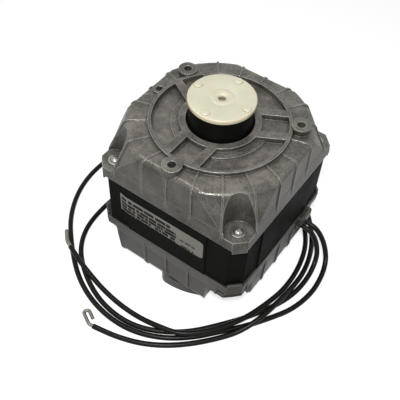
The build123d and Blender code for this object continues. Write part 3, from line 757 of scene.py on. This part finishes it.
class FANMOTOR_OT_castings(bpy.types.Operator):
    """Dress both cast shells and open the rear one's label corner"""

    bl_idname = "fan_motor.castings"
    bl_label = "Cast Shells"

    def execute(self, context):
        dress(cast_metal("front_cast_metal", FRONT_SHELL_SHADE_TONE, stippled=True), "front_shell")
        dress(cast_metal("rear_cast_metal", REAR_SHELL_SHADE_TONE), self.opened_corner())
        return {"FINISHED"}

    def tool_cylinder(self, spot, radius, low, high):
        """Return a cylinder that cuts or fills at the label corner."""
        deselect_all()
        bpy.ops.mesh.primitive_cylinder_add(
            vertices=96, radius=radius, depth=high - low,
            location=(spot, -spot, (low + high) / 2))
        tool = bpy.context.object
        bpy.ops.object.transform_apply(location=True, rotation=True, scale=True)
        return tool

    def combine(self, piece, tool, operation):
        """Join, cut or clip a piece with a tool, and delete the tool."""
        pick(piece)
        bpy.ops.object.modifier_add(type="BOOLEAN")
        step = piece.modifiers[-1]
        step.object = tool
        step.operation = operation
        step.solver = "EXACT"
        bpy.ops.object.modifier_apply(modifier=step.name)
        pick(tool)
        bpy.ops.object.delete()

    def slab_limit(self):
        """Return the cube that clips the slab to the label corner."""
        deselect_all()
        bpy.ops.mesh.primitive_cube_add(
            size=1.0, location=(CORNER_SLAB_MIDDLE, -CORNER_SLAB_MIDDLE, CORNER_SLAB_HIGH))
        limit = bpy.context.object
        limit.scale = (CORNER_SLAB_SIDE, CORNER_SLAB_SIDE, CORNER_SLAB_SIDE)
        bpy.ops.object.transform_apply(location=True, rotation=True, scale=True)
        return limit

    def scoop(self):
        """Return the slightly conical tool that cuts the wide scoop."""
        deselect_all()
        bpy.ops.mesh.primitive_cone_add(
            vertices=72, radius1=CORNER_SCOOP_LOW_RADIUS, radius2=CORNER_SCOOP_RADIUS,
            depth=CORNER_SCOOP_TOP + CORNER_TOOL_OVERLAP,
            location=(
                CORNER_SCOOP_PLACE, -CORNER_SCOOP_PLACE,
                (CORNER_SCOOP_TOP - CORNER_TOOL_OVERLAP) / 2))
        tool = bpy.context.object
        bpy.ops.object.transform_apply(location=True, rotation=True, scale=True)
        return tool

    def opened_corner(self):
        """Return the rear shell with the wide scoop at its label corner, as a piece of its own."""
        source = nodes["rear_shell"]
        pick(source)
        bpy.ops.object.duplicate(linked=False)
        piece = bpy.context.object
        piece.name = "rear_casting"
        piece.data.name = "rear_casting"
        bpy.ops.object.mode_set(mode="EDIT")
        bpy.ops.mesh.select_all(action="SELECT")
        bpy.ops.mesh.remove_doubles(threshold=CORNER_MERGE)
        bpy.ops.object.mode_set(mode="OBJECT")
        bpy.ops.mesh.customdata_custom_splitnormals_clear()
        block = self.tool_cylinder(
            CORNER_BLOCK_PLACE, CORNER_BLOCK_RADIUS, CORNER_BLOCK_LOW, CORNER_BLOCK_HIGH)
        slab = self.tool_cylinder(0.0, CORNER_SLAB_RADIUS, CORNER_SCOOP_TOP, CORNER_SLAB_HIGH)
        self.combine(slab, self.slab_limit(), "INTERSECT")
        scoop = self.scoop()
        well = self.tool_cylinder(
            RIVET_PITCH_HALF, CORNER_WELL_RADIUS, CORNER_SCOOP_TOP - CORNER_TOOL_OVERLAP,
            CORNER_WELL_HIGH)
        for tool in (block, slab):
            self.combine(piece, tool, "UNION")
        for tool in (scoop, well):
            self.combine(piece, tool, "DIFFERENCE")
        pick(piece)
        bpy.ops.object.shade_smooth_by_angle(angle=math.radians(CORNER_SMOOTH_DEGREES))
        bpy.ops.object.modifier_add(type="WEIGHTED_NORMAL")
        step = piece.modifiers[-1]
        step.keep_sharp = True
        step.weight = 100
        bpy.ops.object.modifier_apply(modifier=step.name)
        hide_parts("rear_shell")
        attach(piece, "housing")
        return piece.name


class FANMOTOR_OT_stack(bpy.types.Operator):
    """Dress the lamination stack"""

    bl_idname = "fan_motor.stack"
    bl_label = "Lamination Stack"

    def execute(self, context):
        values = settings()
        material, tree, output = tree_of("stack_varnish")
        shader = principled(tree, output, Metallic=0.0, Specular_IOR_Level=0.01)
        blotches = use_group(
            tree, blotch_group(), Blotch_Scale=60.0, Grain_Scale=900.0, Grain_Share=0.4)
        tone = span(tree, blotches.outputs["Both"], 0.35, 0.7, 0.0, 1.0)
        base = mix_colour(
            tree, tone, scaled(values.stack_colour, 0.8), scaled(values.stack_colour, 1.5))
        tree.links.new(base, shader.inputs["Base Color"])
        rough = span(tree, blotches.outputs["Blotch"], 0.3, 0.7, 0.4, 0.6)
        tree.links.new(rough, shader.inputs["Roughness"])
        spot = tree.nodes.new("ShaderNodeTexCoord")
        parts = split(tree, spot.outputs["Object"])
        sheets = math_node(tree, "DIVIDE", parts.outputs["Z"], values.sheet_thickness)
        saw = math_node(tree, "PINGPONG", sheets, 0.5)
        seam = span(tree, saw, 0.0, SHEET_SEAM, 0.0, 1.0)
        fine = bump(tree, blotches.outputs["Grain"], 0.25, 0.0003)
        tree.links.new(bump(tree, seam, 0.25, 0.00005, fine), shader.inputs["Normal"])
        dress(material, "stator_core")
        return {"FINISHED"}


class FANMOTOR_OT_rivets(bpy.types.Operator):
    """Model the four rivets' heads and tails"""

    bl_idname = "fan_motor.rivets"
    bl_label = "Rivets"

    def execute(self, context):
        low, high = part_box("corner_rivets")
        head = self.head(high[2] - RIVET_HEAD_RISE, turned=False)
        tail = self.head(low[2] + RIVET_TAIL_RISE, turned=True)
        pieces = []
        for side_x in (-1, 1):
            for side_y in (-1, 1):
                for part in (head, tail):
                    move = (side_x * RIVET_PITCH_HALF, side_y * RIVET_PITCH_HALF, 0)
                    pieces.append(own_copy(part, move))
        deselect_all()
        head.select_set(True)
        tail.select_set(True)
        bpy.ops.object.delete()
        piece = joined(pieces, "rivet_heads")
        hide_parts("corner_rivets")
        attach(piece, "housing")
        dress(plain_finish("rivet_metal", RIVET_COLOUR, metallic=0.85, rough=0.22), piece.name)
        return {"FINISHED"}

    def head(self, seat, turned):
        """Return one head: a low round flange with a small dome in its middle."""
        deselect_all()
        bpy.ops.mesh.primitive_cylinder_add(
            vertices=40, radius=RIVET_FLANGE_RADIUS, depth=RIVET_FLANGE_RISE,
            location=(0, 0, RIVET_FLANGE_RISE / 2))
        piece = bpy.context.object
        bpy.ops.object.transform_apply(location=True)
        bpy.ops.object.mode_set(mode="EDIT")
        select_faces(piece, lambda face: face.normal.z > 0.9)
        for thickness, rise in RIVET_INSETS:
            bpy.ops.mesh.inset(thickness=thickness, depth=rise)
        bpy.ops.mesh.select_all(action="DESELECT")
        select_edges(piece, lambda edge: all(
            abs(vertex.co.z - RIVET_FLANGE_RISE) < 1e-6
            and abs(vertex.co.to_2d().length - RIVET_FLANGE_RADIUS) < 1e-5
            for vertex in edge.verts))
        bpy.ops.mesh.bevel(offset=RIVET_FLANGE_ROUNDING, segments=3)
        if turned:
            bpy.ops.mesh.select_all(action="SELECT")
            bpy.ops.transform.rotate(value=math.pi, orient_axis="X", center_override=(0, 0, 0))
        bpy.ops.mesh.select_all(action="SELECT")
        bpy.ops.transform.translate(value=(0, 0, seat))
        bpy.ops.object.mode_set(mode="OBJECT")
        return piece


class FANMOTOR_OT_label(bpy.types.Operator):
    """Dress the rating label with rows of plain bars"""

    bl_idname = "fan_motor.label"
    bl_label = "Rating Label"

    def execute(self, context):
        dress(self.foil(settings()), "rating_label")
        return {"FINISHED"}

    def foil(self, values):
        """Return the foil with rows of plain bars, the first row heavier."""
        _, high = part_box("rating_label")
        material, tree, output = tree_of("label_foil")
        shader = principled(tree, output, Metallic=0.20, Specular_IOR_Level=0.05)
        blotches = use_group(
            tree, blotch_group(), Blotch_Scale=140.0, Grain_Scale=1500.0, Grain_Share=0.3)
        tone = span(tree, blotches.outputs["Both"], 0.36, 0.66, 0.0, 1.0)
        foil = mix_colour(
            tree, tone, scaled(values.label_colour, 0.90), scaled(values.label_colour, 1.10))
        spot = tree.nodes.new("ShaderNodeTexCoord")
        parts = split(tree, spot.outputs["Object"])
        heavy = self.rows(
            tree, parts, top=high[2] - 0.0009, pitch=0.0030, bar=(0.16, 0.80), break_scale=620.0,
            reach=(LABEL_BARS_LEFT, 0.0030), count=1)
        fine = self.rows(
            tree, parts, top=high[2] - 0.0040, pitch=values.label_row, bar=(0.05, 0.88),
            break_scale=800.0, reach=(LABEL_BARS_LEFT, 0.0062), count=5)
        far = self.rows(
            tree, parts, top=high[2] - 0.0052, pitch=0.0036, bar=(0.34, 0.62), break_scale=800.0,
            reach=(0.0085, 0.0172), count=2)
        ink = joined_masks(tree, heavy, joined_masks(tree, fine, far))
        printed = mix_colour(tree, ink, foil, colour(values.label_ink))
        tree.links.new(printed, shader.inputs["Base Color"])
        rough = span(tree, blotches.outputs["Blotch"], 0.3, 0.7, 0.38, 0.52)
        tree.links.new(rough, shader.inputs["Roughness"])
        tree.links.new(bump(tree, blotches.outputs["Both"], 0.15, 0.0003), shader.inputs["Normal"])
        return material

    def rows(self, tree, parts, top, pitch, bar, break_scale, reach, count):
        """Return the mask of some rows of bars, each row broken into bars of uneven length."""
        down = math_node(tree, "SUBTRACT", top, parts.outputs["Z"])
        row = math_node(tree, "DIVIDE", down, pitch)
        index = math_node(tree, "FLOOR", row)
        bars = within(tree, math_node(tree, "FRACT", row), *bar)
        shown = within(tree, index, -0.5, count - 0.5)
        along = place(
            tree, "ShaderNodeTexNoise", noise_dimensions="2D", Scale=1.0, Detail=1.0,
            Roughness=0.5)
        across = tree.nodes.new("ShaderNodeCombineXYZ")
        for name, value, scale in (
            ("X", parts.outputs["X"], break_scale),
            ("Y", index, LABEL_ROW_SHIFT),
        ):
            tree.links.new(math_node(tree, "MULTIPLY", value, scale), across.inputs[name])
        tree.links.new(across.outputs[0], along.inputs["Vector"])
        dash = math_node(tree, "GREATER_THAN", along.outputs["Fac"], LABEL_BREAK_LEVEL)
        inside = within(tree, parts.outputs["X"], *reach)
        mask = math_node(tree, "MULTIPLY", bars, shown)
        return math_node(tree, "MULTIPLY", mask, math_node(tree, "MULTIPLY", dash, inside))


class FANMOTOR_OT_hub(bpy.types.Operator):
    """Dress the fan hub, its cup and the shaft"""

    bl_idname = "fan_motor.hub"
    bl_label = "Fan Hub"

    def execute(self, context):
        values = settings()
        pegs = []
        for turn in range(PEG_COUNT):
            angle = math.radians(360 / PEG_COUNT * turn)
            spot = (PEG_PITCH_RADIUS * math.cos(angle), PEG_PITCH_RADIUS * math.sin(angle))
            pegs.append(self.peg(*spot))
        piece = joined([self.disc(), *pegs], "hub_disc_pegged")
        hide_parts("fan_hub")
        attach(piece, "rotor")
        dress(self.plastic(values), piece.name)
        cup = plain_finish(
            "cup_plastic", values.cup_colour, metallic=0.0, rough=0.42, blotch=0.2,
            Specular_IOR_Level=0.08)
        dress(cup, "hub_cup")
        steel = plain_finish("ground_steel", (0.5, 0.5, 0.5), metallic=1.0, rough=0.25)
        dress(steel, "shaft")
        return {"FINISHED"}

    def disc(self):
        """Return the disc with its shallow ring, its dimple and its hole."""
        values = settings()
        deselect_all()
        bpy.ops.mesh.primitive_cylinder_add(
            vertices=96, radius=values.hub_radius, depth=DISC_THICKNESS,
            location=(0, 0, DISC_TOP - DISC_THICKNESS / 2))
        piece = bpy.context.object
        bpy.ops.object.transform_apply(location=True)
        bpy.ops.object.mode_set(mode="EDIT")
        select_edges(piece, lambda edge: abs(edge.verts[0].co.z - edge.verts[1].co.z) < 1e-6)
        bpy.ops.mesh.bevel(offset=DISC_RIM_ROUNDING, segments=4)
        select_faces(piece, lambda face: face.normal.z > 0.99 and len(face.verts) > 8)
        for thickness, rise in DISC_INSETS:
            bpy.ops.mesh.inset(thickness=thickness, depth=rise)
        bpy.ops.object.mode_set(mode="OBJECT")
        return piece

    def peg(self, spot_x, spot_y):
        """Return one low round peg of the disc."""
        values = settings()
        deselect_all()
        bpy.ops.mesh.primitive_cylinder_add(
            vertices=32, radius=PEG_RADIUS, depth=values.peg_rise + PEG_ROOT,
            location=(spot_x, spot_y, DISC_TOP + values.peg_rise / 2 - PEG_ROOT / 2))
        piece = bpy.context.object
        bpy.ops.object.transform_apply(location=True)
        top = DISC_TOP + values.peg_rise
        bpy.ops.object.mode_set(mode="EDIT")
        select_edges(
            piece, lambda edge: all(abs(vertex.co.z - top) < 1e-5 for vertex in edge.verts))
        bpy.ops.mesh.bevel(offset=PEG_ROUNDING, segments=4)
        bpy.ops.object.mode_set(mode="OBJECT")
        return piece

    def plastic(self, values):
        """Return the natural plastic, with a painted shade tone on its rim and painted shade in its
        hollows.
        """
        material, tree, output = tree_of("hub_plastic")
        shader = principled(tree, output, Subsurface_Weight=0.12, Subsurface_Scale=0.0015)
        blotches = use_group(
            tree, blotch_group(), Blotch_Scale=160.0, Grain_Scale=1600.0, Grain_Share=0.35)
        tone = span(tree, blotches.outputs["Both"], 0.36, 0.66, 0.0, 1.0)
        face = mix_colour(
            tree, tone, scaled(values.hub_colour, 0.94), scaled(values.hub_colour, 1.05))
        # Faces turned sideways take the rim's tone: a painted shade tone set by the normal.
        geometry = tree.nodes.new("ShaderNodeNewGeometry")
        parts = split(tree, geometry.outputs["Normal"])
        side = span(tree, parts.outputs["Z"], 0.25, 0.98, 1.0, 0.0)
        rim = mix_colour(tree, side, face, colour(HUB_RIM_SHADE_TONE))
        # Hollows darken towards the near-black: painted shade.
        edges = use_group(tree, edge_group(), Radius=0.0002, Reach=0.0030)
        hollow_shade_share = span(tree, edges.outputs["Corner"], 0.35, 1.0, 0.0, 0.95)
        deep = mix_colour(tree, hollow_shade_share, rim, colour(HUB_HOLLOW_SHADE))
        tree.links.new(deep, shader.inputs["Base Color"])
        rough = span(tree, blotches.outputs["Blotch"], 0.3, 0.7, 0.34, 0.50)
        tree.links.new(rough, shader.inputs["Roughness"])
        tree.links.new(bump(tree, blotches.outputs["Grain"], 0.08, 0.0002), shader.inputs["Normal"])
        return material


class FANMOTOR_OT_inside(bpy.types.Operator):
    """Dress the pieces inside the castings"""

    bl_idname = "fan_motor.inside"
    bl_label = "Inner Pieces"

    def execute(self, context):
        for name, base, metallic, rough, blotch, dressed in INNER_FINISHES:
            dress(plain_finish(name, base, metallic, rough, blotch), *dressed)
        return {"FINISHED"}


def lead_curve(name, route, cad_node):
    """Lay one lead as a smooth curve along its route."""
    values = settings()
    bpy.ops.curve.primitive_nurbs_path_add(location=(0, 0, 0))
    piece = bpy.context.object
    piece.name = name
    piece.data.name = name
    piece.data.splines.clear()
    spline = piece.data.splines.new("NURBS")
    spline.points.add(len(route) - 1)
    for point, spot in zip(spline.points, route):
        point.co = (*spot, 1.0)
        point.radius = values.lead_diameter / 2
    spline.order_u = LEAD_CURVE_ORDER
    spline.use_endpoint_u = True
    spline.resolution_u = LEAD_CURVE_STEPS
    piece.data.dimensions = "3D"
    piece.data.bevel_depth = 1.0
    piece.data.bevel_resolution = LEAD_ROUND_STEPS
    piece.data.use_fill_caps = True
    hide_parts(cad_node)
    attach(piece, "housing")


class FANMOTOR_OT_leads(bpy.types.Operator):
    """Lay both leads and dress their ends"""

    bl_idname = "fan_motor.leads"
    bl_label = "Leads"

    def execute(self, context):
        values = settings()
        jacket = plain_finish(
            "lead_jacket", values.lead_colour, metallic=0.0, rough=0.30, blotch=0.2,
            grain_scale=2500.0, relief=0.06, Specular_IOR_Level=0.12)
        for name, route, length, node, tip in (
            ("lead_a_cord", LEAD_A_ROUTE, LEAD_A_LENGTH, "lead_a", "lead_a_tip"),
            ("lead_b_cord", LEAD_B_ROUTE, LEAD_B_LENGTH, "lead_b", "lead_b_tip"),
        ):
            deselect_all()
            lead_curve(name, route, node)
            dress(jacket, name)
        strands = plain_finish(
            "tinned_strands", values.strand_colour, metallic=0.6, rough=0.45, blotch=0.35,
            grain_scale=3000.0, relief=0.8)
        dress(strands, "lead_a_tip", "lead_b_tip")
        return {"FINISHED"}


class FANMOTOR_OT_stage(bpy.types.Operator):
    """Set the floor, the room light, the lamps and the camera"""

    bl_idname = "fan_motor.stage"
    bl_label = "Stage"

    def execute(self, context):
        values = settings()
        scene = context.scene
        scene.view_settings.view_transform = "Standard"
        self.floor()
        self.room(scene, values)
        self.lamps(values)
        self.camera(scene, values)
        return {"FINISHED"}

    def floor(self):
        """Lay a pale floor that shows white to the camera and keeps a soft shadow."""
        deselect_all()
        bpy.ops.mesh.primitive_plane_add(size=FLOOR_SIZE, location=(0, 0, -FLOOR_DROP))
        floor = bpy.context.object
        floor.name = "stage_floor"
        bpy.ops.object.transform_apply(location=True)
        material, tree, output = tree_of("pale_floor")
        paper = place(
            tree, "ShaderNodeBsdfDiffuse", Color=(FLOOR_SHADE, FLOOR_SHADE, FLOOR_SHADE, 1.0))
        glow = place(tree, "ShaderNodeEmission", Color=(1.0, 1.0, 1.0, 1.0))
        strength = math_node(tree, "MULTIPLY", background_seen(tree), FLOOR_GLOW)
        tree.links.new(strength, glow.inputs["Strength"])
        both = tree.nodes.new("ShaderNodeAddShader")
        tree.links.new(paper.outputs[0], both.inputs[0])
        tree.links.new(glow.outputs[0], both.inputs[1])
        tree.links.new(both.outputs[0], output.inputs["Surface"])
        floor.data.materials.append(material)

    def room(self, scene, values):
        """Light the room plainly, white where the camera, metal or glass sees it."""
        world = bpy.data.worlds.new("studio_room")
        world.use_nodes = True
        tree = world.node_tree
        tree.nodes.clear()
        output = tree.nodes.new("ShaderNodeOutputWorld")
        plain = place(tree, "ShaderNodeBackground", Color=(1.0, 1.0, 1.0, 1.0))
        level = span(tree, background_seen(tree), 0.0, 1.0, values.sky_strength, 1.0)
        tree.links.new(level, plain.inputs["Strength"])
        tree.links.new(plain.outputs[0], output.inputs["Surface"])
        scene.world = world

    def lamps(self, values):
        """Hang the lamp overhead, the lamp in front and the small lamp above the camera."""
        for name, (spot, size), power in (
            ("top_lamp", TOP_LAMP, values.top_power),
            ("front_lamp", FRONT_LAMP, values.front_power),
            ("near_lamp", NEAR_LAMP, values.near_power),
        ):
            deselect_all()
            bpy.ops.object.light_add(type="AREA", location=spot)
            lamp = bpy.context.object
            lamp.name = name
            lamp.data.energy = power
            lamp.data.size = size
            aim = Vector(LAMP_TARGET) - Vector(spot)
            lamp.rotation_euler = aim.to_track_quat("-Z", "Y").to_euler()

    def camera(self, scene, values):
        """Stand the camera where the photograph was taken."""
        bpy.ops.object.camera_add(location=(0, 0, 0))
        camera = bpy.context.object
        camera.name = "photo_camera"
        camera.data.lens = values.camera_lens
        camera.data.sensor_width = 36.0
        camera.data.clip_start = 0.01
        matrix = Matrix.Identity(4)
        for column, axis in enumerate((CAMERA_RIGHT, CAMERA_UP, CAMERA_BACK)):
            for row in range(3):
                matrix[row][column] = axis[row]
        matrix.translation = Vector(CAMERA_PLACE)
        camera.matrix_world = matrix
        scene.camera = camera


class FANMOTOR_PT_panel(bpy.types.Panel):
    """Panel that lists the motor's pieces and sizes"""

    bl_idname = "FANMOTOR_PT_panel"
    bl_label = "Fan Motor"
    bl_space_type = "VIEW_3D"
    bl_region_type = "UI"
    bl_category = "Fan Motor"

    def draw(self, context):
        layout = self.layout
        for operator in PIECES:
            layout.operator(operator.bl_idname)
        for name in FanMotorSettings.__annotations__:
            layout.prop(context.scene.fan_motor, name)


PIECES = (
    FANMOTOR_OT_stage,
    FANMOTOR_OT_leads,
    FANMOTOR_OT_castings,
    FANMOTOR_OT_stack,
    FANMOTOR_OT_rivets,
    FANMOTOR_OT_label,
    FANMOTOR_OT_hub,
    FANMOTOR_OT_inside,
)
CLASSES = (FanMotorSettings, *PIECES, FANMOTOR_PT_panel)


def register():
    """Register the classes and the settings."""
    for each in CLASSES:
        bpy.utils.register_class(each)
    bpy.types.Scene.fan_motor = bpy.props.PointerProperty(type=FanMotorSettings)


def unregister():
    """Take the classes and the settings away."""
    del bpy.types.Scene.fan_motor
    for each in reversed(CLASSES):
        bpy.utils.unregister_class(each)


def main():
    """Dress the motor."""
    register()
    bpy.ops.fan_motor.stage()
    bpy.ops.fan_motor.leads()
    bpy.ops.fan_motor.castings()
    bpy.ops.fan_motor.stack()
    bpy.ops.fan_motor.rivets()
    bpy.ops.fan_motor.label()
    bpy.ops.fan_motor.hub()
    bpy.ops.fan_motor.inside()


if __name__ == "__main__":
    main()
